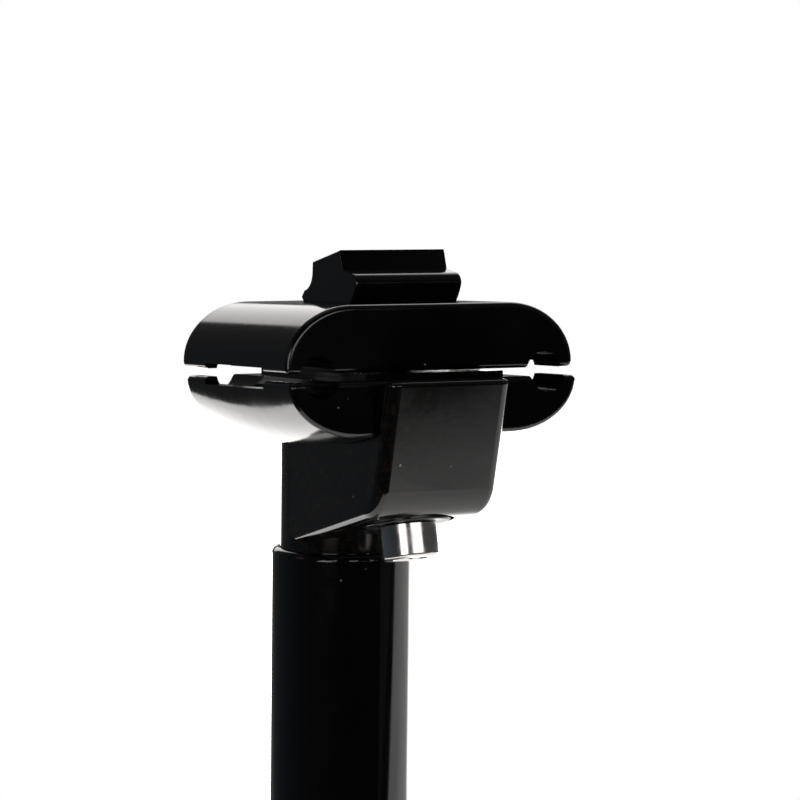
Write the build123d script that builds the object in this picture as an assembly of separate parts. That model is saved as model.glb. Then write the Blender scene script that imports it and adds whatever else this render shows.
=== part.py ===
from build123d import *
from math import cos, radians, sin, sqrt, tan
import os

# Bicycle seatpost with a single-bolt saddle clamp, in millimetres.
# +Z runs up the tube axis from the tube's bottom end, which is the origin.
# +Y is forward (towards the saddle's nose) and X runs across the saddle's rails.

# Driving dimensions: post
tube_d = 25.4
tube_wall = 1.5
rail_height = 300.0          # from the tube's bottom end to the rails
rail_above_rim = 32.2
rim_round = 1.2
spigot_depth = 38.0          # length of the head pressed into the tube

# Driving dimensions: clamp geometry, measured from the tilt axis
axis_y = -12.2               # the tilt axis lies behind the tube's axis
axis_drop = 19.8             # from the tilt axis down to the rails
clamp_pitch = -2.0           # the clamp is stored a little nose-down, in degrees
bolt_tilt = 13.5             # the bolt's top leans forward, in degrees
tilt_reach = 15.5            # clamp travel each side of square to the bolt, in degrees

# Driving dimensions: clamp halves
clamp_width = 55.6
clamp_depth = 40.1
upper_height = 11.3
upper_corner = (12.5, 10.3)
upper_shift = 1.4            # the upper half sits this far forward of the lower one
lower_height = 9.25
lower_corner = (13.0, 9.2)
lower_belly = 2.3            # extra depth of the lower half at mid-length
clamp_gap = 1.4
edge_round = 0.9
land_half = 13.4             # raised land between the rails, on the lower half
land_gap = 0.3
rail_spacing = 44.0
rail_d = 7.0
notch_length = 22.2
notch_forward = 1.3          # the relief's middle, forward of the clamp's
notch_upper = 0.9
notch_lower = 1.3

# Driving dimensions: head
seat_r = 30.6                # concave seat, centred on the tilt axis
seat_clearance = 0.2
channel_clearance = 0.45
rear_top_y = -38.3
rear_lean = 13.0             # the rear face leans back towards its top, in degrees
underside_slope = 15.0
underside_rise = 0.5         # height of the underside above the rim, at the tube's axis
seat_front_y = 1.2
front_top = 20.3             # height of the head's front edge above the rim
heel_round = 7.0
land_round = 0.7
block_rear_half = 11.8       # half the block's width at its rear: it widens towards the rear
block_side_round = 2.0
block_bottom_round = 2.0
spotface_d = 16.4
spotface_drop = 45.6         # from the tilt axis, along the bolt
spotface_depth = 20.0
hole_depth = 60.0            # from the tilt axis, through the block and out of the spotface

# Driving dimensions: bolt, washer and nut
bolt_d = 6.0
bolt_head_d = 10.0
bolt_head_h = 6.0
hex_size = 5.0
hex_depth = 3.8
bolt_hole_d = 6.8
thread_clearance = 0.05
bolt_tip_chamfer = 0.7
bolt_head_top_chamfer = 0.25
bolt_head_rim_round = 0.6
washer_d = 15.0
washer_t = 1.2
washer_edge_round = 0.3
nut_length = 20.8
nut_r = 11.75                # convex underside, centred on the tilt axis
nut_clearance = 0.15
nut_top = 0.3
nut_front = 5.3
nut_rear = 4.8
nut_edge_round = 0.35
pocket_end_gap = 0.5
slot_side_gap = 0.4
slot_end_gap = 1.9

tube_r = tube_d / 2
bore_r = tube_r - tube_wall
neck_r = bore_r              # the head's neck and its spigot are one cylinder, which fits the bore
block_front_half = neck_r - 0.05   # where the block meets the neck, it is a little narrower
rim_z = rail_height - rail_above_rim
axis_z = rail_height + axis_drop
half_width = clamp_width / 2
big = 200.0                  # larger than anything that it cuts

tilt_centre = Pos(0, axis_y, axis_z)
clamp_place = tilt_centre * Rot(clamp_pitch, 0, 0)
bolt_place = tilt_centre * Rot(-bolt_tilt, 0, 0)


def across(radius, length):
    """A cylinder about the tilt axis, which runs along X."""
    return Rot(0, 90, 0) * Cylinder(radius, length)


def post_tube():
    tube = extrude(Circle(tube_r) - Circle(bore_r), rim_z)
    rim = tube.edges().filter_by(GeomType.CIRCLE).group_by(Axis.Z)[-1].sort_by(SortBy.RADIUS)[-1]
    return fillet(rim, rim_round)


def head_block():
    """The block behind the neck: a leaning rear face, a sloping underside and rounded lower edges."""
    lean = tan(radians(rear_lean))
    slope = tan(radians(underside_slope))
    under_z = rim_z + underside_rise
    # the point where the leaning rear face meets the sloping underside
    drop = (rail_height - under_z + slope * rear_top_y) / (1 - slope * lean)
    heel = (rear_top_y + lean * drop, rail_height - drop)
    side = make_face(Polyline((rear_top_y, rail_height), heel, (0, under_z), (0, rail_height), close=True))
    heel_corner = side.vertices().sort_by(lambda v: abs(v.X - heel[0]) + abs(v.Y - heel[1]))[0]
    body = extrude(Plane.YZ * fillet(heel_corner, heel_round), 2 * block_rear_half, both=True)
    # the plan is carried on behind the block and above and below it, so that it trims only the sides
    front, beyond = block_front_half, 2 * block_rear_half - block_front_half
    plan = Polyline((front, 0), (beyond, 2 * rear_top_y), (-beyond, 2 * rear_top_y), (-front, 0), close=True)
    body = body & extrude(make_face(plan), 2 * rail_height)
    uprights = body.edges().filter_by(
        lambda e: e.center().Y < -30 and abs(e.center().X) > block_front_half
        and e.geom_type == GeomType.LINE and abs(e.tangent_at(0.5).Z) > 0.9
    )
    body = fillet(uprights, block_side_round)
    # both lower side edges are rounded along the slope of the underside
    down = radians(underside_slope)
    slope_plane = Plane(origin=(0, 0, under_z), x_dir=(1, 0, 0), z_dir=(0, -cos(down), sin(down)))
    keel = Pos(0, big / 2) * Rectangle(2 * block_rear_half, big)
    keel = fillet(keel.vertices().group_by(Axis.Y)[0], block_bottom_round)
    return body & extrude(slope_plane * keel, big / 2, both=True)


def head_neck():
    """One cylinder: the spigot inside the tube and the neck above it, sloped off at its front."""
    foot_z = rim_z - spigot_depth
    reach = neck_r + 1
    seat_front_z = axis_z - sqrt(seat_r**2 - (seat_front_y - axis_y) ** 2)
    # the cylinder's seam is turned to the front, clear of the block
    neck = Pos(0, 0, foot_z) * Rot(0, 0, 90) * extrude(Circle(neck_r), rail_height - foot_z)
    side = Polyline(
        (-reach, foot_z - 1),
        (reach, foot_z - 1),
        (reach, rim_z + front_top),
        (seat_front_y, seat_front_z),
        (seat_front_y, rail_height + 1),
        (-reach, rail_height + 1),
        close=True,
    )
    return neck & extrude(make_face(Plane.YZ * side), reach, both=True)


def head():
    body = head_block() + head_neck()
    body = body - tilt_centre * across(seat_r, 3 * neck_r)
    land = body.faces().filter_by(Axis.Z).sort_by(Axis.Z)[-1]
    body = fillet(land.edges().sort_by(Axis.Y)[:1], land_round)
    spotface = extrude(Circle(spotface_d / 2), spotface_depth)
    spotface = bolt_place * Pos(0, 0, -spotface_drop - spotface_depth) * spotface
    hole = bolt_place * Pos(0, 0, -hole_depth) * extrude(Circle(bolt_hole_d / 2), hole_depth)
    return body - spotface - hole


def half_outline(height, corner):
    """A clamp half's end view in XZ: a flat parting face and two elliptical corners."""
    base = clamp_gap / 2
    wide, tall = corner
    shoulder = base + height - tall
    right = EllipticalCenterArc((half_width - wide, shoulder), wide, tall, 0, arc_size=90)
    left = EllipticalCenterArc((wide - half_width, shoulder), wide, tall, 90, arc_size=90)
    sides = Polyline((-half_width, shoulder), (-half_width, base), (half_width, base), (half_width, shoulder))
    return Plane.XZ * make_face([right, Line(right @ 1, left @ 0), left, sides])


def soften(body):
    """Round both ends' outlines and the two long edges beside the parting face."""
    ends = body.edges().filter_by(lambda e: abs(abs(e.center().Y) - clamp_depth / 2) < 0.01)
    sides = body.edges().filter_by(
        lambda e: abs(e.center().Z - clamp_gap / 2) < 0.01 and abs(abs(e.center().X) - half_width) < 0.01
    )
    return fillet(ShapeList(ends + sides), edge_round)


def rail_grooves():
    groove = Rot(90, 0, 0) * Cylinder(rail_d / 2, 2 * clamp_depth)
    return [Pos(side * rail_spacing / 2, 0, -axis_drop) * groove for side in (-1, 1)]


def land_notches(depth):
    """Relief in the outer lands, near mid-length."""
    tall = 2 * (clamp_gap / 2 + depth)
    wide = half_width
    middle = Pos(0, 0, -axis_drop)
    notches = []
    for side in (-1, 1):
        centre_x = side * (rail_spacing / 2 + wide / 2)
        notches.append(middle * Pos(centre_x, notch_forward, 0) * Box(wide, notch_length, tall))
    return notches


def bolt_slot():
    """The space that the bolt sweeps in a clamp half over the whole tilt, with rounded ends."""
    reach = radians(tilt_reach)
    shallow, deep = 2.0, 60.0
    end = bolt_d / 2 / cos(reach) + slot_end_gap
    top, bottom = shallow * tan(reach) + end, deep * tan(reach) + end
    wedge = Polyline((-top, -shallow), (top, -shallow), (bottom, -deep), (-bottom, -deep), close=True)
    half_slot = bolt_d / 2 + slot_side_gap
    slot = extrude(make_face(Plane.YZ * wedge), half_slot, both=True)
    corners = slot.edges().filter_by(lambda e: abs(e.tangent_at(0.5).Z) > 0.9)
    return fillet(corners, half_slot - 0.1)


def upper_clamp():
    body = extrude(half_outline(upper_height, upper_corner), clamp_depth / 2, both=True)
    body = Pos(0, upper_shift, -axis_drop) * soften(body)
    pocket = across(nut_r + nut_clearance, nut_length + 2 * pocket_end_gap)
    for cut in [pocket, bolt_slot()] + rail_grooves() + land_notches(notch_upper):
        body = body - cut
    return clamp_place * body


def lower_cradle():
    sections = []
    for step in (-1, -0.5, 0, 0.5, 1):
        belly = lower_belly * (1 - step**2)
        corner = (lower_corner[0], lower_corner[1] + belly)
        outline = half_outline(lower_height + belly, corner)
        sections.append(Pos(0, step * clamp_depth / 2, 0) * outline)
    body = mirror(soften(loft(sections)), Plane.XY)
    land_top = clamp_gap / 2 - land_gap
    land = Pos(0, 0, (land_top - clamp_gap) / 2) * Box(
        2 * land_half, clamp_depth - 2 * edge_round, clamp_gap + land_top
    )
    body = Pos(0, 0, -axis_drop) * (body + land)
    channel = Pos(0, 0, -axis_drop - big / 4) * Box(2 * (block_rear_half + channel_clearance), big, big / 2)
    channel = channel - across(seat_r - seat_clearance, big)
    for cut in [channel, bolt_slot()] + rail_grooves() + land_notches(notch_lower):
        body = body - cut
    return clamp_place * body


def nut_bar():
    """A bar with a finger ledge behind, a flared front and a convex underside."""
    front_tip = (10.7, -4.85)
    nose_foot = (-9.2, -7.3)
    outline = [
        Polyline((-5.1, -3.2), (-nut_rear, nut_top), (nut_front, nut_top), (nut_front + 0.6, -1.7)),
        ThreePointArc((nut_front + 0.6, -1.7), (7.0, -3.2), (9.4, -3.9)),
        Line((9.4, -3.9), front_tip),
        ThreePointArc(front_tip, (0, -nut_r), nose_foot),
        ThreePointArc(nose_foot, (-9.5, -5.7), (-8.4, -4.5)),
        Line((-8.4, -4.5), (-5.1, -3.2)),
    ]
    bar = extrude(Plane.YZ * make_face(outline), nut_length / 2, both=True)
    ends = bar.edges().filter_by(lambda e: abs(abs(e.center().X) - nut_length / 2) < 0.01)
    bar = fillet(ends, nut_edge_round)
    thread = Cylinder(bolt_d / 2 + thread_clearance, 3 * nut_r)
    mouth = Pos(0, 0, nut_top - 0.4) * Cone(bolt_d / 2, bolt_d / 2 + 0.8, 0.8)
    return bolt_place * (bar - thread - mouth)


def clamp_bolt():
    under_head = spotface_drop + washer_t
    shank = Pos(0, 0, -under_head) * extrude(Circle(bolt_d / 2), under_head)
    tip = shank.edges().filter_by(GeomType.CIRCLE).sort_by(Axis.Z)[-1]
    shank = chamfer(tip, bolt_tip_chamfer)
    cap = Pos(0, 0, -under_head - bolt_head_h) * extrude(Circle(bolt_head_d / 2), bolt_head_h)
    rims = cap.edges().filter_by(GeomType.CIRCLE).sort_by(Axis.Z)
    cap = chamfer(rims[-1], bolt_head_top_chamfer)
    lower_rim = cap.edges().filter_by(GeomType.CIRCLE).sort_by(Axis.Z)[0]
    cap = fillet(lower_rim, bolt_head_rim_round)
    across_corners = hex_size / cos(radians(30))
    socket = Pos(0, 0, -under_head - bolt_head_h) * extrude(
        RegularPolygon(across_corners / 2, 6), hex_depth
    )
    lead = Pos(0, 0, -under_head - bolt_head_h) * Cone(across_corners / 2 + 0.2, hex_size / 2, 0.5,
                                                       align=(Align.CENTER, Align.CENTER, Align.MIN))
    return bolt_place * ((shank + cap) - socket - lead)


def bolt_washer():
    ring = extrude(Circle(washer_d / 2) - Circle(bolt_hole_d / 2), washer_t)
    outer = ring.edges().filter_by(GeomType.CIRCLE).group_by(SortBy.RADIUS)[-1]
    ring = fillet(outer, washer_edge_round)
    return bolt_place * Pos(0, 0, -spotface_drop - washer_t) * ring


parts = {
    "post_tube": post_tube,
    "head": head,
    "lower_cradle": lower_cradle,
    "upper_clamp": upper_clamp,
    "nut_bar": nut_bar,
    "clamp_bolt": clamp_bolt,
    "bolt_washer": bolt_washer,
}

os.makedirs("parts", exist_ok=True)
for name, make in parts.items():
    export_step(make(), f"parts/{name}.step")
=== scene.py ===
from math import cos, radians, sin

import bpy
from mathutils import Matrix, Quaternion, Vector


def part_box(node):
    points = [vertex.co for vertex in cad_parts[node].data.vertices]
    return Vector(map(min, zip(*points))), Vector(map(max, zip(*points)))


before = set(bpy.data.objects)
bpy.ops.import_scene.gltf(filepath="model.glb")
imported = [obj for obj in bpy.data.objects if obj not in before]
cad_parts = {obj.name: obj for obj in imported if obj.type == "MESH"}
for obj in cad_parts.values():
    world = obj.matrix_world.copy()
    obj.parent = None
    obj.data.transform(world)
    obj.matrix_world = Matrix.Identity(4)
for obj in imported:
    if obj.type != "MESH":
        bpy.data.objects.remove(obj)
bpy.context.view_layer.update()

scene = bpy.context.scene
MM = 0.001
WHITE = (1, 1, 1, 1)

# ---------------------------------------------------------------- camera
# The view is from behind and to the left of the post, a little above the clamp.
azimuth, elevation, roll = radians(-29.27), radians(4.64), radians(0.63)
distance = 0.585
aim_right, aim_front, aim_above_rim = 8.58 * MM, -4.81 * MM, 26.26 * MM
focal_length, sensor_width = 148.5, 36

rim_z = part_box("post_tube")[1].z
target = Vector((aim_right, aim_front, rim_z + aim_above_rim))
back = Vector((sin(azimuth) * cos(elevation), -cos(azimuth) * cos(elevation), sin(elevation)))
camera_data = bpy.data.cameras.new("camera")
camera_data.lens, camera_data.sensor_width = focal_length, sensor_width
camera_data.clip_start, camera_data.clip_end = 0.01, 50
camera = bpy.data.objects.new("camera", camera_data)
camera.rotation_mode = "QUATERNION"
camera.location = target + back * distance
camera.rotation_quaternion = (-back).to_track_quat("-Z", "Y") @ Quaternion((0, 0, 1), roll)
scene.collection.objects.link(camera)
scene.camera = camera
scene.view_settings.view_transform = "Standard"


# ---------------------------------------------------------------- node helpers
class Nodes:
    """A short way to write a node tree."""

    def __init__(self, tree):
        self.tree = tree
        tree.nodes.clear()

    def add(self, kind, **settings):
        node = self.tree.nodes.new(kind)
        for name, value in settings.items():
            setattr(node, name, value)
        return node

    def link(self, source, target_socket):
        self.tree.links.new(source, target_socket)

    def feed(self, socket, value):
        if isinstance(value, bpy.types.NodeSocket):
            self.link(value, socket)
        else:
            socket.default_value = value

    def math(self, operation, *values):
        node = self.add("ShaderNodeMath", operation=operation)
        for socket, value in zip(node.inputs, values):
            self.feed(socket, value)
        return node.outputs[0]

    def times(self, first, second):
        return self.math("MULTIPLY", first, second)

    def plus(self, first, second):
        return self.math("ADD", first, second)

    def minus(self, first, second):
        return self.math("SUBTRACT", first, second)

    def ramp(self, value, low, high, to_low=0.0, to_high=1.0):
        """A soft step from to_low, where the value is low, to to_high, where it is high."""
        node = self.add("ShaderNodeMapRange", interpolation_type="SMOOTHSTEP")
        for socket, number in zip(node.inputs, (value, low, high, to_low, to_high)):
            self.feed(socket, number)
        return node.outputs[0]

    def noise(self, vector, scale, detail=2.0, rough=0.5):
        node = self.add("ShaderNodeTexNoise")
        self.feed(node.inputs["Vector"], vector)
        node.inputs["Scale"].default_value = scale
        node.inputs["Detail"].default_value = detail
        node.inputs["Roughness"].default_value = rough
        return node.outputs["Fac"]

    def mix(self, factor, first, second):
        node = self.add("ShaderNodeMix", data_type="RGBA")
        self.feed(node.inputs[0], factor)
        self.feed(node.inputs[6], first)
        self.feed(node.inputs[7], second)
        return node.outputs[2]

    def coordinates(self, kind):
        return self.add("ShaderNodeTexCoord").outputs[kind]

    def split(self, vector):
        node = self.add("ShaderNodeSeparateXYZ")
        self.link(vector, node.inputs[0])
        return node.outputs

    def bearing(self, x, y):
        """Degrees from +Y towards +X."""
        return self.math("DEGREES", self.math("ARCTAN2", x, y))

    def finish_white_to_camera(self, kind, lit, output_kind):
        """The camera sees plain white; reflections and light see the lit shader."""
        seen = self.add(kind)
        seen.inputs["Color"].default_value = WHITE
        seen.inputs["Strength"].default_value = 1.0
        choose = self.add("ShaderNodeMixShader")
        self.link(self.add("ShaderNodeLightPath").outputs["Is Camera Ray"], choose.inputs[0])
        self.link(lit.outputs[0], choose.inputs[1])
        self.link(seen.outputs[0], choose.inputs[2])
        self.link(choose.outputs[0], self.add(output_kind).inputs["Surface"])


# ---------------------------------------------------------------- studio
# Angles are in degrees. Names such as left, front and near are as the camera sees them, not the post's own.
def make_world():
    """For light and reflections: a dark room, a raised white panel, two soft boxes and three faint glows."""
    world = bpy.data.worlds.new("studio")
    scene.world = world
    world.use_nodes = True
    n = Nodes(world.node_tree)
    x, y, z = n.split(n.coordinates("Generated"))
    bearing = n.bearing(x, y)
    height = n.math("DEGREES", n.math("ARCSINE", z))

    def window(value, middle, half, soft):
        off = n.math("ABSOLUTE", n.minus(value, middle))
        return n.ramp(off, half + soft, half - soft)

    def around(middle):
        """Signed degrees from the middle bearing, on the circle."""
        return n.math("WRAP", n.minus(bearing, middle), 180.0, -180.0)

    def panel(middle, half, low, high, soft, strength):
        side = window(around(middle), 0.0, half, soft)
        tall = window(height, (low + high) / 2, (high - low) / 2, soft)
        return n.times(n.times(side, tall), strength)

    # the walls are pale ahead and to the right, and fade round the left to nearly black behind the camera
    dark_wall, pale_wall = 0.006, 0.07
    room = n.ramp(around(-35.0), -110.0, 0.0, dark_wall, pale_wall)
    rose_strength = 0.35
    back_panel = panel(34.0, 33.0, 9.0, 54.0, 1.5, 1.85)
    left_box = panel(-128.0, 13.0, -4.0, 24.0, 2.0, 3.0)
    front_box = panel(175.5, 22.0, 8.0, 21.0, 1.5, 2.6)
    above = n.ramp(height, 60.0, 80.0, 0.0, 0.25)
    horizon = panel(29.0, 40.0, -3.0, 6.0, 2.0, 0.05)
    rose = panel(-78.0, 11.0, 12.0, 34.0, 4.0, rose_strength)
    total = room
    for part in (back_panel, left_box, front_box, above, horizon, rose):
        total = n.plus(total, part)

    warm_white, cool_white, pink = (1.0, 0.975, 0.96, 1), (0.72, 0.86, 1.0, 1), (1.0, 0.62, 0.66, 1)
    cool = window(around(-62.0), 0.0, 38.0, 20.0)
    tint = n.mix(cool, warm_white, cool_white)
    tint = n.mix(n.times(rose, 1.0 / rose_strength), tint, pink)
    lit = n.add("ShaderNodeBackground")
    n.link(total, lit.inputs["Strength"])
    n.link(tint, lit.inputs["Color"])
    n.finish_white_to_camera("ShaderNodeBackground", lit, "ShaderNodeOutputWorld")


def make_table():
    """A glowing table: dark near the camera, brightest beyond the post."""
    left, right, far = -0.2, 2.6, 3.2
    near_left, near_right = -0.62, -1.4
    mesh = bpy.data.meshes.new("floor")
    corners = [(left, near_left, 0), (right, near_right, 0), (right, far, 0), (left, far, 0)]
    mesh.from_pydata(corners, [], [(0, 1, 2, 3)])
    floor = bpy.data.objects.new("floor", mesh)
    scene.collection.objects.link(floor)

    material = bpy.data.materials.new("pale_floor")
    material.use_nodes = True
    n = Nodes(material.node_tree)
    coords = n.coordinates("Object")
    x, y, _ = n.split(coords)
    bearing = n.bearing(x, y)
    reach = n.math("SQRT", n.plus(n.times(x, x), n.times(y, y)))

    table_glow, rear_glow, far_glow, faintest = 1.25, 1.9, 2.6, 0.01
    slant = n.plus(y, n.times(x, 0.24))
    past_near_edge = n.ramp(slant, -0.452, -0.392)
    # it brightens beyond the post, but no further round to the right than this bearing
    short_of_right = n.ramp(bearing, 77.0, 72.0)
    rise = n.plus(n.ramp(y, 0.1, 0.4, 0.0, rear_glow), n.ramp(reach, 0.9, 1.2, 0.0, far_glow))
    glow = n.times(past_near_edge, n.plus(n.times(short_of_right, rise), table_glow))
    # far off to the left it is dark again
    shade = n.times(n.ramp(reach, 0.8, 1.1), n.ramp(bearing, 12.0, 8.0, 0.0, 0.98))
    glow = n.times(glow, n.minus(1.0, shade))
    glow = n.times(glow, n.ramp(n.noise(coords, 3.0, 4.0), 0.3, 0.7, 0.9, 1.1))

    lit = n.add("ShaderNodeEmission")
    lit.inputs["Color"].default_value = (1.0, 0.985, 0.97, 1)
    n.link(n.plus(glow, faintest), lit.inputs["Strength"])
    n.finish_white_to_camera("ShaderNodeEmission", lit, "ShaderNodeOutputMaterial")
    mesh.materials.append(material)


def make_light(name, place, aim, size, power):
    """A round soft light that leaves no reflection of itself."""
    data = bpy.data.lights.new(name, "AREA")
    data.shape, data.size, data.energy = "DISK", size, power
    light = bpy.data.objects.new(name, data)
    light.location = place
    light.visible_glossy = False
    light.rotation_mode = "QUATERNION"
    light.rotation_quaternion = (Vector(aim) - Vector(place)).to_track_quat("-Z", "Y")
    scene.collection.objects.link(light)


make_world()
make_table()
make_light("overhead", place=(0.9, 0.9, 2.2), aim=(0.7, 0.7, 0.0), size=1.2, power=60.0)


# ---------------------------------------------------------------- materials
def finished(name):
    material = bpy.data.materials.new(name)
    material.use_nodes = True
    n = Nodes(material.node_tree)
    shader = n.add("ShaderNodeBsdfPrincipled")
    n.link(shader.outputs[0], n.add("ShaderNodeOutputMaterial").inputs["Surface"])
    return material, n, shader, n.coordinates("Object")


def bumped(n, shader, height, depth):
    bump = n.add("ShaderNodeBump")
    bump.inputs["Strength"].default_value = 1.0
    bump.inputs["Distance"].default_value = depth
    n.link(height, bump.inputs["Height"])
    n.link(bump.outputs[0], shader.inputs["Normal"])


def gloss_paint(name, tint, rough, peel, specks, mottle=0.0):
    """Black gloss paint with cloudiness, orange peel, rubbed patches, brown mottling and dust specks."""
    brown, grey_dust = (0.045, 0.031, 0.022, 1), (0.30, 0.29, 0.27, 1)
    material, n, shader, coords = finished(name)

    cloud = n.noise(coords, 70.0, 4.0, 0.6)
    darker = (*[0.35 * c for c in tint], 1)
    base = n.mix(cloud, darker, (*tint, 1))
    grime = n.ramp(n.noise(coords, 620.0, 5.0, 0.7), 0.48, 0.68)
    grime = n.times(grime, n.ramp(n.noise(coords, 55.0, 2.0), 0.40, 0.62))
    base = n.mix(n.times(grime, mottle), base, brown)

    dots = n.add("ShaderNodeTexVoronoi")
    n.link(coords, dots.inputs["Vector"])
    dots.inputs["Scale"].default_value = 330.0
    kept = n.ramp(n.noise(coords, 140.0, 1.0), 0.60, 0.64)
    dust = n.times(n.ramp(dots.outputs["Distance"], 0.10, 0.05), kept)
    dust = n.times(dust, specks)
    n.link(n.mix(dust, base, grey_dust), shader.inputs["Base Color"])

    rubbed = n.ramp(n.noise(coords, 45.0, 5.0, 0.65), 0.35, 0.75, rough * 0.7, rough * 1.5)
    n.link(n.plus(rubbed, n.times(dust, 0.5)), shader.inputs["Roughness"])
    shader.inputs["IOR"].default_value = 1.5
    bumped(n, shader, n.noise(coords, 900.0, 2.0), peel * MM)
    return material


def plated_steel(name):
    """Bright plating, a little cloudy in colour and gloss, with a very fine even grain."""
    dull, bright = (0.56, 0.535, 0.525, 1), (0.74, 0.72, 0.71, 1)
    material, n, shader, coords = finished(name)
    cloud = n.noise(coords, 260.0, 4.0, 0.6)
    n.link(n.mix(cloud, dull, bright), shader.inputs["Base Color"])
    shader.inputs["Metallic"].default_value = 1.0
    n.link(n.ramp(cloud, 0.3, 0.75, 0.12, 0.26), shader.inputs["Roughness"])
    bumped(n, shader, n.noise(coords, 2400.0, 3.0), 0.0012 * MM)
    return material


black, brown_black = (0.0022, 0.0023, 0.0026), (0.004, 0.0037, 0.0035)
finishes = {
    "post_tube": gloss_paint("tube_gloss_black", black, rough=0.09, peel=0.0008, specks=0.3),
    "head": gloss_paint("head_gloss_black", brown_black, rough=0.12, peel=0.003, specks=0.8, mottle=0.3),
    "lower_cradle": gloss_paint("cradle_gloss_black", black, rough=0.12, peel=0.0016, specks=0.6),
    "upper_clamp": gloss_paint("clamp_gloss_black", black, rough=0.12, peel=0.0016, specks=0.6),
    "nut_bar": gloss_paint("nut_black", black, rough=0.12, peel=0.0012, specks=0.5),
    "bolt_washer": gloss_paint("washer_black", black, rough=0.3, peel=0.0012, specks=0.0),
    "clamp_bolt": plated_steel("bolt_plated"),
}
for node, material in finishes.items():
    target_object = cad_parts[node]
    for material_slot in target_object.material_slots:
        material_slot.material = material
    if not target_object.material_slots:
        target_object.data.materials.append(material)
